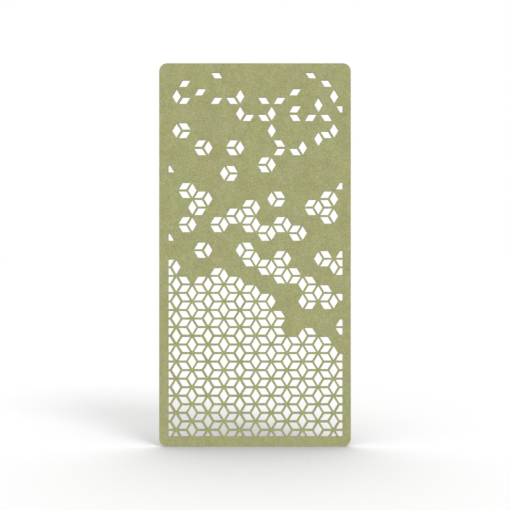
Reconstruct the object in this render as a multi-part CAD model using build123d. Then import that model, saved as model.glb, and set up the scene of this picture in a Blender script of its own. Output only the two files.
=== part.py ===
from build123d import *
import math
import os

# Hanging acoustic screen, in millimetres.
# A sheet of pressed felt board, cut through with lozenges that read as small cubes,
# hangs from two threaded sleeves that are sunk in its top edge.
# X runs across the screen, Y through it and Z up. The front faces -Y.
# The origin is the middle of the top edge.

# Felt board
panel_width = 1200.0
panel_height = 2400.0
panel_thickness = 12.0
corner_radius = 50.0

# Plain border between the pattern and each edge of the board
border_left = 57.5
border_right = 51.0
border_top = 58.0
border_bottom = 61.0

# Steps from one column or row of lozenges to the next
column_step = 48.9
row_step = 53.55

# Middle of the first column and upper side of the first row, measured inwards from
# the borders that cut them, and how far the lattice drifts left per millimetre down
first_column_inset = 0.1
first_row_inset = -11.6
lattice_drift = 0.0016

# Bars of felt left between the lozenges, and how far the sloping bars sit
# off the lattice lines, towards the leaning lozenges
bar_width = 12.5
bar_shift = 1.0

# Least area worth cutting, in square millimetres, where a border leaves only a sliver of a lozenge
smallest_cut = 100.0

# Upright columns with wider bars on both sides, and the row with a wider bar under it
wide_columns = (1, 5, 9)
wide_column_extra = 2.0
wide_row = 30
wide_row_extra = 2.3

# Layout of the pattern. Columns count from 0 at the left border and rows from 0 at the top.
# Even columns hold leaning lozenges and odd columns hold upright ones.
# An upright lozenge spans its own row and the next, and stands in every second row.
# The field is cut without a break from the first row given for each column down to the bottom.
field_first_rows = (
    22, 22, 24, 25, 24, 24, 23, 23, 24, 24, 25, 25,
    26, 26, 28, 31, 31, 30, 30, 31, 31, 32, 33,
)

# Cubes above the field, by the column and row of their upright lozenge,
# with their leaning pair on its left or on its right
cubes_with_left_pair = (
    (5, 8), (9, 8), (13, 10), (3, 13), (5, 14), (21, 14), (11, 15), (19, 15),
    (9, 16), (21, 16), (3, 17), (7, 17), (11, 17), (15, 17), (13, 18), (17, 18),
    (5, 20), (11, 21), (15, 21), (13, 22), (15, 23), (21, 26),
)
cubes_with_right_pair = (
    (1, 6), (7, 11), (13, 14), (3, 15), (9, 20), (19, 21),
    (21, 22), (15, 23), (17, 24), (19, 25), (17, 26),
)

# Single lozenges above the field, leaning ones in even columns and upright ones in odd columns
single_lozenges = (
    (6, 0), (18, 0), (2, 1), (20, 1), (1, 2), (4, 2), (9, 2), (16, 2), (21, 2),
    (2, 3), (6, 3), (8, 3), (12, 3), (14, 3), (19, 3), (9, 4), (13, 4), (16, 4), (22, 4),
    (10, 5), (12, 5), (16, 5), (18, 5), (20, 5), (13, 6), (21, 6), (19, 7), (20, 7),
    (14, 8), (17, 8), (14, 9), (16, 9), (0, 11), (22, 13), (0, 19), (22, 21),
    (22, 26), (22, 29), (22, 30),
)

# Threaded sleeves in the top edge, which the suspension wires screw into
sleeve_spacing = 800.0
sleeve_length = 25.0
sleeve_outer_diameter = 8.0
sleeve_bore_diameter = 5.0
sleeve_floor = 5.0
sleeve_mouth_chamfer = 0.5
sleeve_rib_pitch = 2.5
sleeve_rib_depth = 0.5
sleeve_clearance = 0.1

# Outline of the cut area, and the slope that all sloping cuts share
left_x = -panel_width / 2 + border_left
right_x = panel_width / 2 - border_right
top_z = -border_top
bottom_z = -panel_height + border_bottom
half_lozenge = column_step * 2 / 3
slope = row_step / half_lozenge
slope_angle = math.atan(slope)


def column_x(column):
    """Middle of a column at the top edge, with wider steps on both sides of each wide column."""
    wide_steps = sum(1 for wide in wide_columns for step in (wide, wide + 1) if column >= step)
    return left_x + first_column_inset + column * column_step + wide_steps * wide_column_extra


def row_z(row):
    """Middle of a row of leaning lozenges."""
    wide_bar = wide_row_extra if row > wide_row else 0.0
    return top_z - first_row_inset - (row + 0.5) * row_step - wide_bar


def upright_corners(column, row):
    """Corners of the upright lozenge that spans a row and the next."""
    inset = bar_width / 2 - bar_shift
    half_width = half_lozenge - inset / math.sin(slope_angle)
    half_height = half_width * slope
    z = (row_z(row) + row_z(row + 1)) / 2
    x = column_x(column) + lattice_drift * z
    return [(x - half_width, z), (x, z - half_height), (x + half_width, z), (x, z + half_height)]


def leaning_corners(column, row):
    """Corners of a leaning lozenge, which leans right and left in turn."""
    inset = bar_width / 2 + bar_shift
    half_width = half_lozenge - inset / math.sin(slope_angle)
    half_height = (row_step - bar_width) / 2
    leans_right = (column // 2 + row) % 2 == 0
    lean = half_height / slope if leans_right else -half_height / slope
    z = row_z(row)
    x = column_x(column) + lattice_drift * z
    return [
        (x - half_width - lean, z - half_height),
        (x + half_width - lean, z - half_height),
        (x + half_width + lean, z + half_height),
        (x - half_width + lean, z + half_height),
    ]


def is_lozenge(column, row):
    """Every row of an even column holds a lozenge, and every second row of an odd one."""
    return column % 2 == 0 or (column // 2 + row) % 2 == 0


def cut_places():
    """Column and row of every lozenge that is cut, the field and the cubes above it."""
    places = set(single_lozenges)
    for column, row in cubes_with_left_pair:
        places |= {(column, row), (column - 1, row), (column - 1, row + 1)}
    for column, row in cubes_with_right_pair:
        places |= {(column, row), (column + 1, row), (column + 1, row + 1)}
    column = 0
    while column_x(column) - column_step < right_x:
        row = field_first_rows[min(column, len(field_first_rows) - 1)]
        while row_z(row) + row_step > bottom_z:
            if is_lozenge(column, row):
                places.add((column, row))
            row += 1
        column += 1
    return sorted(places)


def lozenge(column, row):
    """Face of one cut-out, before the border trims it."""
    is_upright = column % 2 == 1
    corners = upright_corners(column, row) if is_upright else leaning_corners(column, row)
    return Polygon(*corners, align=None)


def pattern_edges():
    """Closed edge of every cut-out, trimmed by the plain border."""
    centre = Pos((left_x + right_x) / 2, (top_z + bottom_z) / 2)
    window = centre * Rectangle(right_x - left_x, top_z - bottom_z)
    edges = []
    for column, row in cut_places():
        trimmed = lozenge(column, row) & window
        if trimmed:
            edges += [face.outer_wire() for face in trimmed.faces() if face.area > smallest_cut]
    return edges


def sleeve_pocket(x):
    """Round pocket in the top edge, as deep as the sleeve is long."""
    radius = sleeve_outer_diameter / 2 + sleeve_clearance
    return Pos(x, 0, -sleeve_length / 2) * Cylinder(radius, sleeve_length)


def felt_panel():
    """The board with its pattern and the pockets for the two sleeves."""
    outline = Pos(0, -panel_height / 2) * RectangleRounded(panel_width, panel_height, corner_radius)
    front = Face(outline.face().outer_wire(), pattern_edges())
    board = extrude(Plane.XZ * front, amount=panel_thickness / 2, both=True)
    for side in (-1, 1):
        board -= sleeve_pocket(side * sleeve_spacing / 2)
    return board


def hanging_sleeve(x):
    """Metal sleeve with a plain collar, barbed rings below it and a blind threaded bore."""
    outer = sleeve_outer_diameter / 2
    root = outer - sleeve_rib_depth
    bore = sleeve_bore_diameter / 2
    bore_end = sleeve_floor - sleeve_length
    rings = round(sleeve_length / sleeve_rib_pitch)
    pitch = sleeve_length / rings
    points = [(0, bore_end), (bore, bore_end), (bore, -sleeve_mouth_chamfer)]
    points += [(bore + sleeve_mouth_chamfer, 0), (outer, 0), (outer, -pitch)]
    for ring in range(2, rings):
        points += [(root, -ring * pitch), (outer, -ring * pitch)]
    points += [(root, -sleeve_length), (0, -sleeve_length)]
    profile = make_face(Polyline(*points, close=True))
    return Pos(x, 0, 0) * revolve(Plane.XZ * profile, axis=Axis.Z)


os.makedirs("parts", exist_ok=True)
export_step(felt_panel(), "parts/felt_panel.step")
export_step(hanging_sleeve(-sleeve_spacing / 2), "parts/hanging_sleeve_left.step")
export_step(hanging_sleeve(sleeve_spacing / 2), "parts/hanging_sleeve_right.step")
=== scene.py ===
import math
import bpy
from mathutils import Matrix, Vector


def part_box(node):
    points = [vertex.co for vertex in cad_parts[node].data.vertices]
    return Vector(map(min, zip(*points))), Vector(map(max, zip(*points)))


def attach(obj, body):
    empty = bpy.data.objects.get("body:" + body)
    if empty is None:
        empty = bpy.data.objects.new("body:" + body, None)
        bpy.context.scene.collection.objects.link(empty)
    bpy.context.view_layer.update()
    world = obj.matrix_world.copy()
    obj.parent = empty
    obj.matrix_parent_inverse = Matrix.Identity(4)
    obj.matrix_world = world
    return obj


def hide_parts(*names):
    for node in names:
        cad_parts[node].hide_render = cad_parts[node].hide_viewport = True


# Hanging acoustic screen of pressed felt board, in metres.
# X runs across the screen, the front faces -Y and Z is up. The top edge is at zero height.

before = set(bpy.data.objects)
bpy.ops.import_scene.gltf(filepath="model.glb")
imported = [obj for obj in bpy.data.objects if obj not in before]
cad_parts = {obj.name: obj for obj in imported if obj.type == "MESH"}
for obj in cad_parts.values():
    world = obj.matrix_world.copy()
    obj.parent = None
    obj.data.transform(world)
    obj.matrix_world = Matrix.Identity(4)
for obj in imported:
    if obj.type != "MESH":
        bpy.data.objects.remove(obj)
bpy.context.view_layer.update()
MM = 0.001
board_low, board_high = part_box("felt_panel")
board_centre = (board_low + board_high) / 2


# Shared steps

def linear(hex_colour):
    """Linear colour of an sRGB hex value."""
    channels = [int(hex_colour[i:i + 2], 16) / 255 for i in (1, 3, 5)]
    return tuple(c / 12.92 if c <= 0.04045 else ((c + 0.055) / 1.055) ** 2.4 for c in channels) + (1.0,)


def node(tree, kind, inputs=None, **settings):
    """Adds a node, sets its properties, and sets or links its inputs."""
    made = tree.nodes.new(kind)
    for name, value in settings.items():
        setattr(made, name, value)
    for name, value in (inputs or {}).items():
        if isinstance(value, bpy.types.NodeSocket):
            tree.links.new(value, made.inputs[name])
        else:
            made.inputs[name].default_value = value
    return made


def new_material(name):
    """An empty node material and its tree."""
    material = bpy.data.materials.new(name)
    material.use_nodes = True
    material.node_tree.nodes.clear()
    return material, material.node_tree


def only(piece):
    """Selects one piece alone and makes it active."""
    if bpy.context.mode != "OBJECT":
        bpy.ops.object.mode_set(mode="OBJECT")
    bpy.ops.object.select_all(action="DESELECT")
    piece.select_set(True)
    bpy.context.view_layer.objects.active = piece


# Felt

# Hue of the blended fibres, in patches a hand or two across: lime to tan, and olive to grey
PATCH_SIZE = 180 * MM
HUE_FROM = 0.2
HUE_TO = 0.8
FELT_LIME = "#a3ba79"
FELT_TAN = "#b9a479"
FELT_OLIVE = "#b6b968"
FELT_GREY = "#a6a58a"

# Mottle: clouds from uneven carding, tufts from the needles, and the grain of single fibres
CLOUD_SIZE = 120 * MM
TUFT_SIZE = 5 * MM
GRAIN_SIZE = 0.9 * MM
CLOUD_WEIGHT = 1.4
TUFT_WEIGHT = 2.6
MOTTLE_FROM = 1.98
MOTTLE_TO = 3.02
# How far the mottle darkens and lightens the hue, as a share of it: its dark tufts lose blue first
MOTTLE_LOW = (0.652, 0.657, 0.428, 1.0)
MOTTLE_HIGH = (1.68, 1.70, 1.91, 1.0)

# Strands on the face. A real fibre is 0.03 mm thick, so a strand is drawn as a bundle of them,
# as coarse as it needs to be to show.
STRAND_GAP = 1.7 * MM
STRAND_LENGTH = 16 * MM
STRAND_DEPTH = 3 * MM
STRAND_EDGE = 0.055
# A slow noise bends the strands to both sides by up to the reach
CURL_SIZE = 17 * MM
CURL_REACH = 8 * MM
# Metres between the places where one shade's strands and the next one's are taken from their noise
STRAND_STEP_X = 0.37
STRAND_STEP_Z = 0.61
# Strands of each shade: colour, lie in degrees, which curl bends them, strength
STRANDS = (
    ("#c3ca86", 8, (1.0, 0.0, 0.0), 0.70),
    ("#74784a", 47, (0.0, 1.0, 0.0), 0.60),
    ("#c2b493", 83, (0.0, 0.0, 1.0), 0.60),
    ("#b9c08f", 118, (0.7, -0.7, 0.0), 0.60),
    ("#83805a", 155, (0.0, 0.7, -0.7), 0.60),
)

# Cut walls, from this far off the board's middle plane
WALL_FROM = 6.0 * MM
WALL_TO = 5.6 * MM
# Colours of the cut walls: dark partly as cut fibre ends are, and partly as painted shade for the shade
# inside the cut-outs
CUT_SHADED_DARK = "#3d3c29"
CUT_SHADED_LIGHT = "#747259"
CUT_SHADE_SHARE = 0.8
# Layers of fibre in a metre across, through and up the board
CUT_LAYERS = (90.0, 1400.0, 90.0)

# Nap: how far the strands stand off the face
NAP_HEIGHT = 0.12 * MM
NAP_STRENGTH = 0.5

# Board
ARRIS = 0.4 * MM
WELD_DISTANCE = 0.01 * MM
FLAT_ANGLE = math.radians(1)
ARRIS_ANGLE = math.radians(40)


def felt_hue(tree, place):
    """The hue of the blend, which drifts slowly over the board."""
    patch = node(tree, "ShaderNodeTexNoise", {"Vector": place, "Scale": 1 / PATCH_SIZE, "Detail": 3.0,
                                              "Roughness": 0.8})
    drift = node(tree, "ShaderNodeSeparateColor", {"Color": patch.outputs["Color"]})
    hues = []
    for channel, low, high in (("Red", FELT_LIME, FELT_TAN), ("Green", FELT_OLIVE, FELT_GREY)):
        share = node(tree, "ShaderNodeMapRange", {"Value": drift.outputs[channel], "From Min": HUE_FROM,
                                                  "From Max": HUE_TO})
        hue = node(tree, "ShaderNodeMix", {"Factor": share.outputs["Result"], "A": linear(low),
                                           "B": linear(high)}, data_type="RGBA")
        hues.append(hue.outputs["Result"])
    hue = node(tree, "ShaderNodeMix", {"Factor": 0.5, "A": hues[0], "B": hues[1]}, data_type="RGBA")
    return hue.outputs["Result"]


def felt_mottle(tree, place, grain):
    """What the clouds, tufts and grain make of the hue: a factor for each of red, green and blue."""
    cloud = node(tree, "ShaderNodeTexNoise", {"Vector": place, "Scale": 1 / CLOUD_SIZE, "Detail": 4.0,
                                              "Roughness": 1.0})
    tuft = node(tree, "ShaderNodeTexNoise", {"Vector": place, "Scale": 1 / TUFT_SIZE, "Detail": 1.0,
                                             "Roughness": 1.0})
    fine = node(tree, "ShaderNodeMath", {0: tuft.outputs["Fac"], 1: TUFT_WEIGHT, 2: grain},
                operation="MULTIPLY_ADD")
    mixed = node(tree, "ShaderNodeMath", {0: cloud.outputs["Fac"], 1: CLOUD_WEIGHT, 2: fine.outputs[0]},
                 operation="MULTIPLY_ADD")
    level = node(tree, "ShaderNodeMapRange", {"Value": mixed.outputs[0], "From Min": MOTTLE_FROM,
                                              "From Max": MOTTLE_TO})
    shade = node(tree, "ShaderNodeMix", {"Factor": level.outputs["Result"], "A": MOTTLE_LOW,
                                         "B": MOTTLE_HIGH}, data_type="RGBA")
    return shade.outputs["Result"]


def felt_strands(tree, place, tone, height):
    """Lays the strands of each shade over the tone, and raises the height for the bump under them."""
    curl = node(tree, "ShaderNodeTexNoise", {"Vector": place, "Scale": 1 / CURL_SIZE, "Detail": 2.0})
    bend = node(tree, "ShaderNodeVectorMath", {0: curl.outputs["Color"], 1: (0.5, 0.5, 0.5)},
                operation="SUBTRACT")
    for k, (colour, lie, curled, strength) in enumerate(STRANDS):
        turned = node(tree, "ShaderNodeMapping", {
            "Vector": place, "Rotation": (0, math.radians(lie), 0),
            "Location": (STRAND_STEP_X * k, 0, STRAND_STEP_Z * k)})
        side = node(tree, "ShaderNodeVectorMath", {0: bend.outputs[0], 1: curled}, operation="DOT_PRODUCT")
        shift = node(tree, "ShaderNodeCombineXYZ", {"Z": side.outputs["Value"]})
        # The noise strays half a unit from its middle, so twice the reach brings it to the reach
        moved = node(tree, "ShaderNodeVectorMath", {
            0: shift.outputs[0], 1: (CURL_REACH * 2,) * 3, 2: turned.outputs[0]}, operation="MULTIPLY_ADD")
        scaled = node(tree, "ShaderNodeVectorMath", {
            0: moved.outputs[0], 1: (1 / STRAND_LENGTH, 1 / STRAND_DEPTH, 1 / STRAND_GAP)},
            operation="MULTIPLY")
        strand = node(tree, "ShaderNodeTexNoise", {"Vector": scaled.outputs[0], "Scale": 1.0, "Detail": 1.0})
        # A strand runs where the stretched noise passes its middle value
        middle = node(tree, "ShaderNodeMath", {0: strand.outputs["Fac"], 1: 0.5}, operation="SUBTRACT")
        away = node(tree, "ShaderNodeMath", {0: middle.outputs[0]}, operation="ABSOLUTE")
        shown = node(tree, "ShaderNodeMapRange", {
            "Value": away.outputs[0], "From Min": STRAND_EDGE, "From Max": 0.0, "To Max": strength})
        tone = node(tree, "ShaderNodeMix", {"Factor": shown.outputs["Result"], "A": tone,
                                            "B": linear(colour)}, data_type="RGBA").outputs["Result"]
        height = node(tree, "ShaderNodeMath", {0: height, 1: shown.outputs["Result"]},
                      operation="MAXIMUM").outputs[0]
    return tone, height


def pressed_felt():
    """Needle-punched polyester staple, hot-pressed to a stiff board. Fibres of a few near shades are
    blended before carding, so the face is heathered: matt, with short strands, clouds and patches of tone."""
    material, tree = new_material("pressed_polyester_felt")
    place = node(tree, "ShaderNodeTexCoord").outputs["Object"]
    grain = node(tree, "ShaderNodeTexNoise", {"Vector": place, "Scale": 1 / GRAIN_SIZE, "Detail": 0.0})
    tone = node(tree, "ShaderNodeVectorMath", {
        0: felt_hue(tree, place), 1: felt_mottle(tree, place, grain.outputs["Fac"])},
        operation="MULTIPLY").outputs[0]
    tone, height = felt_strands(tree, place, tone, grain.outputs["Fac"])
    # Cut walls: fibres lie in layers parallel to the faces, streaked darker and lighter. The walls are also
    # coloured much darker than the face, partly because cut fibre ends look darker and partly as painted
    # shade for the shade inside the cut-outs
    parts = node(tree, "ShaderNodeSeparateXYZ", {"Vector": place})
    depth = node(tree, "ShaderNodeMath", {0: parts.outputs["Y"]}, operation="ABSOLUTE")
    wall = node(tree, "ShaderNodeMapRange", {"Value": depth.outputs[0], "From Min": WALL_FROM,
                                             "From Max": WALL_TO}, interpolation_type="SMOOTHSTEP")
    layers = node(tree, "ShaderNodeVectorMath", {0: place, 1: CUT_LAYERS}, operation="MULTIPLY")
    layer = node(tree, "ShaderNodeTexNoise", {"Vector": layers.outputs[0], "Scale": 1.0, "Detail": 2.0})
    dark = node(tree, "ShaderNodeMix", {"Factor": layer.outputs["Fac"], "A": linear(CUT_SHADED_DARK),
                                        "B": linear(CUT_SHADED_LIGHT)}, data_type="RGBA")
    cut = node(tree, "ShaderNodeMix", {"Factor": CUT_SHADE_SHARE, "A": tone, "B": dark.outputs["Result"]},
               data_type="RGBA")
    colour = node(tree, "ShaderNodeMix", {"Factor": wall.outputs["Result"], "A": tone,
                                          "B": cut.outputs["Result"]}, data_type="RGBA")
    bump = node(tree, "ShaderNodeBump", {"Height": height, "Strength": NAP_STRENGTH, "Distance": NAP_HEIGHT})
    shader = node(tree, "ShaderNodeBsdfPrincipled", {
        "Base Color": colour.outputs["Result"], "Roughness": 0.95, "IOR": 1.5, "Specular IOR Level": 0.2,
        "Sheen Weight": 0.15, "Sheen Roughness": 0.5, "Normal": bump.outputs["Normal"]})
    node(tree, "ShaderNodeOutputMaterial", {"Surface": shader.outputs["BSDF"]})
    return material


def felt_board(material):
    """The board, with its cut arrises softened as a knife leaves them in felt."""
    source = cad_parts["felt_panel"]
    board = bpy.data.objects.new("felt_board", source.data.copy())
    bpy.context.scene.collection.objects.link(board)
    only(board)
    bpy.ops.object.mode_set(mode="EDIT")
    bpy.ops.mesh.select_all(action="SELECT")
    bpy.ops.mesh.remove_doubles(threshold=WELD_DISTANCE)
    bpy.ops.mesh.dissolve_limited(angle_limit=FLAT_ANGLE)
    bpy.ops.object.mode_set(mode="OBJECT")
    bevel = board.modifiers.new("soft_arris", "BEVEL")
    bevel.width = ARRIS
    bevel.segments = 2
    bevel.limit_method = "ANGLE"
    bevel.angle_limit = ARRIS_ANGLE
    bpy.ops.object.modifier_apply(modifier=bevel.name)
    board.data.materials.clear()
    board.data.materials.append(material)
    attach(board, "root")
    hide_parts("felt_panel")


# Hanging sleeves

# One on each side, this far from the screen's middle, sunk flush in the top edge
SLEEVE_REACH = 400 * MM
SLEEVE_LENGTH = 25 * MM
SLEEVE_RADIUS = 4 * MM
ROUND_SIDES = 48

# Barbed rings
RING_PITCH = 2.5 * MM
RING_STEP = 0.2 * MM
RING_ROOT = 3.5 * MM

# Bore, with a drill's cone at its end, and the broken edge that turning leaves
BORE_RADIUS = 2.5 * MM
BORE_DEPTH = 20 * MM
MOUTH_CHAMFER = 0.5 * MM
CONE_DEPTH = 0.8 * MM
CONE_TIP = 0.05
TURNED_EDGE = 0.06 * MM
TURNED_EDGE_ANGLE = math.radians(25)

# M5 thread
THREAD_PITCH = 0.8 * MM
THREAD_HEIGHT = 0.4 * MM
THREAD_STEPS = 24

NEAR = 0.05 * MM
SMOOTH_ANGLE = math.radians(35)

# Plating. Tool marks are 0.12 mm apart, drawn at twice that so that they show
MARK_GAP = 0.25 * MM
MARK_HEIGHT = 0.02 * MM
BLOOM_SIZE = 1.5 * MM
ZINC_DARK = "#a9a9a6"
ZINC_LIGHT = "#c9c9c4"


def pick(piece, test):
    """Selects the vertices whose place passes the test, and stays in edit mode."""
    bpy.ops.object.mode_set(mode="EDIT")
    bpy.ops.mesh.select_mode(type="VERT")
    bpy.ops.mesh.select_all(action="DESELECT")
    bpy.ops.object.mode_set(mode="OBJECT")
    for vertex in piece.data.vertices:
        vertex.select = test(vertex.co)
    bpy.ops.object.mode_set(mode="EDIT")


def sleeve_body(x):
    """A turned sleeve: barbed rings outside, a blind bore with a chamfered mouth."""
    bpy.ops.object.select_all(action="DESELECT")
    bpy.ops.mesh.primitive_cylinder_add(vertices=ROUND_SIDES, radius=SLEEVE_RADIUS, depth=SLEEVE_LENGTH,
                                        location=(x, 0, -SLEEVE_LENGTH / 2))
    sleeve = bpy.context.object
    bpy.ops.object.transform_apply(location=True, rotation=False, scale=False)
    rings = round(SLEEVE_LENGTH / RING_PITCH)
    bpy.ops.object.mode_set(mode="EDIT")
    for ring in range(1, rings):
        for drop in (0, RING_STEP):
            bpy.ops.mesh.select_all(action="SELECT")
            bpy.ops.mesh.bisect(plane_co=(x, 0, -ring * RING_PITCH - drop), plane_no=(0, 0, 1))
    thin = RING_ROOT / SLEEVE_RADIUS
    for ring in range(2, rings + 1):
        height = -ring * RING_PITCH
        pick(sleeve, lambda co: abs(co.z - height) < NEAR)
        bpy.ops.transform.resize(value=(thin, thin, 1), center_override=(x, 0, height))
    pick(sleeve, lambda co: co.z > -NEAR)
    mouth = BORE_RADIUS + MOUTH_CHAMFER
    # The bore, from the end face inwards: the share that each step narrows to, and how far it drops
    steps = (
        (mouth / SLEEVE_RADIUS, 0),
        (BORE_RADIUS / mouth, -MOUTH_CHAMFER),
        (1, MOUTH_CHAMFER - BORE_DEPTH),
        (CONE_TIP, -CONE_DEPTH),
    )
    for share, drop in steps:
        bpy.ops.mesh.extrude_region_move(TRANSFORM_OT_translate={"value": (0, 0, drop)})
        bpy.ops.transform.resize(value=(share, share, 1), center_override=(x, 0, 0))
    bpy.ops.mesh.select_all(action="SELECT")
    bpy.ops.mesh.normals_make_consistent(inside=False)
    bpy.ops.object.mode_set(mode="OBJECT")
    soft = sleeve.modifiers.new("turned_edge", "BEVEL")
    soft.width = TURNED_EDGE
    soft.segments = 2
    soft.limit_method = "ANGLE"
    soft.angle_limit = TURNED_EDGE_ANGLE
    bpy.ops.object.modifier_apply(modifier=soft.name)
    return sleeve


def sleeve_thread(x):
    """The M5 thread as a ridge wound up the bore."""
    bpy.ops.object.select_all(action="DESELECT")
    bpy.ops.mesh.primitive_circle_add(vertices=3, radius=THREAD_HEIGHT, fill_type="NOTHING",
                                      location=(x, 0, -BORE_DEPTH), rotation=(math.radians(90), 0, 0))
    thread = bpy.context.object
    bpy.ops.object.transform_apply(location=False, rotation=True, scale=False)
    bpy.ops.object.mode_set(mode="EDIT")
    bpy.ops.mesh.select_all(action="SELECT")
    bpy.ops.transform.rotate(value=math.radians(90), orient_axis="Y", center_override=(x, 0, -BORE_DEPTH))
    bpy.ops.transform.translate(value=(BORE_RADIUS, 0, THREAD_PITCH / 2))
    bpy.ops.object.mode_set(mode="OBJECT")
    wound = thread.modifiers.new("wound", "SCREW")
    wound.axis = "Z"
    wound.screw_offset = THREAD_PITCH
    wound.iterations = int((BORE_DEPTH - 2 * MOUTH_CHAMFER) / THREAD_PITCH)
    wound.steps = THREAD_STEPS
    wound.render_steps = THREAD_STEPS
    wound.use_merge_vertices = True
    wound.merge_threshold = 0.001 * MM
    bpy.ops.object.modifier_apply(modifier=wound.name)
    bpy.ops.object.transform_apply(location=True, rotation=False, scale=False)
    bpy.ops.object.mode_set(mode="EDIT")
    bpy.ops.mesh.select_all(action="SELECT")
    bpy.ops.mesh.fill_holes(sides=4)
    bpy.ops.mesh.select_all(action="SELECT")
    bpy.ops.mesh.normals_make_consistent(inside=False)
    bpy.ops.object.mode_set(mode="OBJECT")
    return thread


def plated_steel():
    """Zinc-plated turned steel: a bright grey metal with fine rings left by the turning tool."""
    material, tree = new_material("zinc_plated_turned_steel")
    place = node(tree, "ShaderNodeTexCoord").outputs["Object"]
    parts = node(tree, "ShaderNodeSeparateXYZ", {"Vector": place})
    across = node(tree, "ShaderNodeMath", {0: parts.outputs["X"]}, operation="ABSOLUTE")
    across = node(tree, "ShaderNodeMath", {0: across.outputs[0], 1: SLEEVE_REACH}, operation="SUBTRACT")
    flat = node(tree, "ShaderNodeCombineXYZ", {"X": across.outputs[0], "Y": parts.outputs["Y"]})
    radius = node(tree, "ShaderNodeVectorMath", {0: flat.outputs[0]}, operation="LENGTH")
    ringed = node(tree, "ShaderNodeCombineXYZ", {"X": radius.outputs["Value"], "Z": parts.outputs["Z"]})
    marks = node(tree, "ShaderNodeTexNoise", {"Vector": ringed.outputs[0], "Scale": 1 / MARK_GAP,
                                              "Detail": 1.0})
    bloom = node(tree, "ShaderNodeTexNoise", {"Vector": place, "Scale": 1 / BLOOM_SIZE, "Detail": 3.0})
    colour = node(tree, "ShaderNodeMix", {"Factor": bloom.outputs["Fac"], "A": linear(ZINC_DARK),
                                          "B": linear(ZINC_LIGHT)}, data_type="RGBA")
    matt = node(tree, "ShaderNodeMapRange", {"Value": bloom.outputs["Fac"], "To Min": 0.25, "To Max": 0.5})
    bump = node(tree, "ShaderNodeBump", {"Height": marks.outputs["Fac"], "Strength": 0.4,
                                         "Distance": MARK_HEIGHT})
    shader = node(tree, "ShaderNodeBsdfPrincipled", {
        "Base Color": colour.outputs["Result"], "Metallic": 1.0, "Roughness": matt.outputs["Result"],
        "Normal": bump.outputs["Normal"]})
    node(tree, "ShaderNodeOutputMaterial", {"Surface": shader.outputs["BSDF"]})
    return material


def hanging_sleeves(material):
    """Makes the left sleeve with its thread, and copies it to the right."""
    left = sleeve_body(-SLEEVE_REACH)
    thread = sleeve_thread(-SLEEVE_REACH)
    only(left)
    thread.select_set(True)
    bpy.ops.object.join()
    bpy.ops.object.shade_smooth_by_angle(angle=SMOOTH_ANGLE)
    left.data.materials.append(material)
    only(left)
    bpy.ops.object.duplicate()
    right = bpy.context.object
    bpy.ops.transform.translate(value=(2 * SLEEVE_REACH, 0, 0))
    bpy.ops.object.transform_apply(location=True, rotation=False, scale=False)
    for piece, side in ((left, "left"), (right, "right")):
        piece.name = "sleeve_" + side
        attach(piece, "root")
        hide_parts("hanging_sleeve_" + side)


# Studio

FLOOR_SIZE = 240.0
FLOOR_GAP = 0.5 * MM
# The floor's paleness: where it is seen, in the nook at the screen's foot, where it is darkened as painted
# shade, and where it lights the screen
FLOOR_SEEN = (0.68, 0.68, 0.68, 1.0)
FLOOR_NOOK_SHADE = (0.23, 0.23, 0.245, 1.0)
FLOOR_LIT = (0.08, 0.08, 0.08, 1.0)
FLOOR_SHADE_REACH = 1.3
WHITE = (1.0, 1.0, 1.0, 1.0)
DOME_STRENGTH = 1.22
# A soft sun from the front right, and how wide it is in the sky
KEY_TURN = math.radians(41)
KEY_HEIGHT = math.radians(50)
KEY_WIDTH = math.radians(20)
KEY_ENERGY = 1.13


def seen_directly(tree):
    """1 for rays from the camera, a reflection or glass, and 0 for rays that light other surfaces."""
    rays = node(tree, "ShaderNodeLightPath")
    seen = node(tree, "ShaderNodeMath", {0: rays.outputs["Is Camera Ray"], 1: rays.outputs["Is Glossy Ray"]},
                operation="MAXIMUM")
    return node(tree, "ShaderNodeMath", {0: seen.outputs[0], 1: rays.outputs["Is Transmission Ray"]},
                operation="MAXIMUM").outputs[0]


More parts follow.
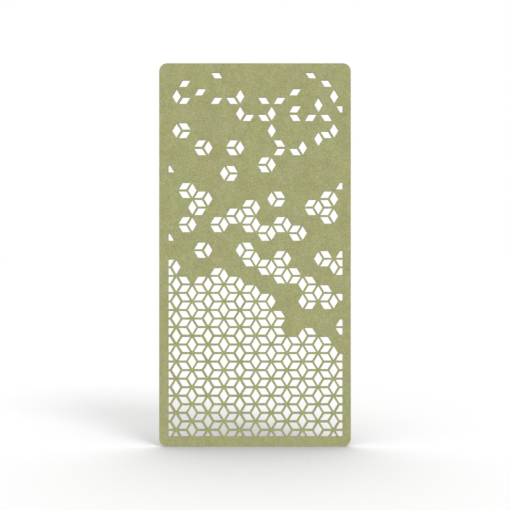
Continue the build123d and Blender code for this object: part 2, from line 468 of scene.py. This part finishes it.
def studio_floor():
    """Matt white floor. It shows paler than it lights the screen, and keeps the screen's shadow. Near the
    screen's foot its seen colour is darkened by ambient occlusion, as painted shade.
    """
    material, tree = new_material("studio_floor")
    # Painted shade: ambient occlusion darkens the floor's seen colour in the nook at the screen's foot
    nook_shade = node(tree, "ShaderNodeAmbientOcclusion", {"Distance": FLOOR_SHADE_REACH}, samples=8)
    shade = node(tree, "ShaderNodeMix", {"Factor": nook_shade.outputs["AO"], "A": FLOOR_NOOK_SHADE, "B": FLOOR_SEEN},
                 data_type="RGBA")
    tone = node(tree, "ShaderNodeMix", {"Factor": seen_directly(tree), "A": FLOOR_LIT,
                                        "B": shade.outputs["Result"]}, data_type="RGBA")
    shader = node(tree, "ShaderNodeBsdfDiffuse", {"Color": tone.outputs["Result"]})
    node(tree, "ShaderNodeOutputMaterial", {"Surface": shader.outputs["BSDF"]})
    return material


def build_floor():
    """A floor that runs to the horizon, just under the screen."""
    bpy.ops.object.select_all(action="DESELECT")
    bpy.ops.mesh.primitive_plane_add(size=FLOOR_SIZE, location=(0, 0, board_low.z - FLOOR_GAP))
    floor = bpy.context.object
    floor.name = "floor"
    floor.data.materials.append(studio_floor())


def build_light():
    """An even dome that shows as white, and one soft sun."""
    world = bpy.data.worlds.new("studio")
    bpy.context.scene.world = world
    world.use_nodes = True
    tree = world.node_tree
    tree.nodes.clear()
    light = node(tree, "ShaderNodeBackground", {"Color": WHITE, "Strength": DOME_STRENGTH})
    white = node(tree, "ShaderNodeBackground", {"Color": WHITE, "Strength": 1.0})
    both = node(tree, "ShaderNodeMixShader", {
        0: seen_directly(tree), 1: light.outputs[0], 2: white.outputs[0]})
    node(tree, "ShaderNodeOutputWorld", {"Surface": both.outputs[0]})
    bpy.ops.object.light_add(type="SUN", location=(2, -3, 2))
    key = bpy.context.object
    key.name = "key"
    key.data.energy = KEY_ENERGY
    key.data.angle = KEY_WIDTH
    level = math.cos(KEY_HEIGHT)
    towards = Vector((math.sin(KEY_TURN) * level, -math.cos(KEY_TURN) * level, math.sin(KEY_HEIGHT)))
    key.rotation_euler = (-towards).to_track_quat("-Z", "Y").to_euler()


# Camera

CAMERA_LENS = 50.0
CAMERA_DISTANCE = 4.436
CAMERA_DROP = 0.9 * MM


def place_camera():
    """Straight on, a hair below the screen's middle height."""
    bpy.ops.object.select_all(action="DESELECT")
    spot = (board_centre.x, board_low.y - CAMERA_DISTANCE, board_centre.z - CAMERA_DROP)
    bpy.ops.object.camera_add(location=spot, rotation=(math.radians(90), 0, 0))
    camera = bpy.context.object
    camera.name = "camera"
    camera.data.lens = CAMERA_LENS
    bpy.context.scene.camera = camera


# Scene

bpy.context.scene.view_settings.view_transform = "Standard"
place_camera()
build_floor()
build_light()
felt_board(pressed_felt())
hanging_sleeves(plated_steel())
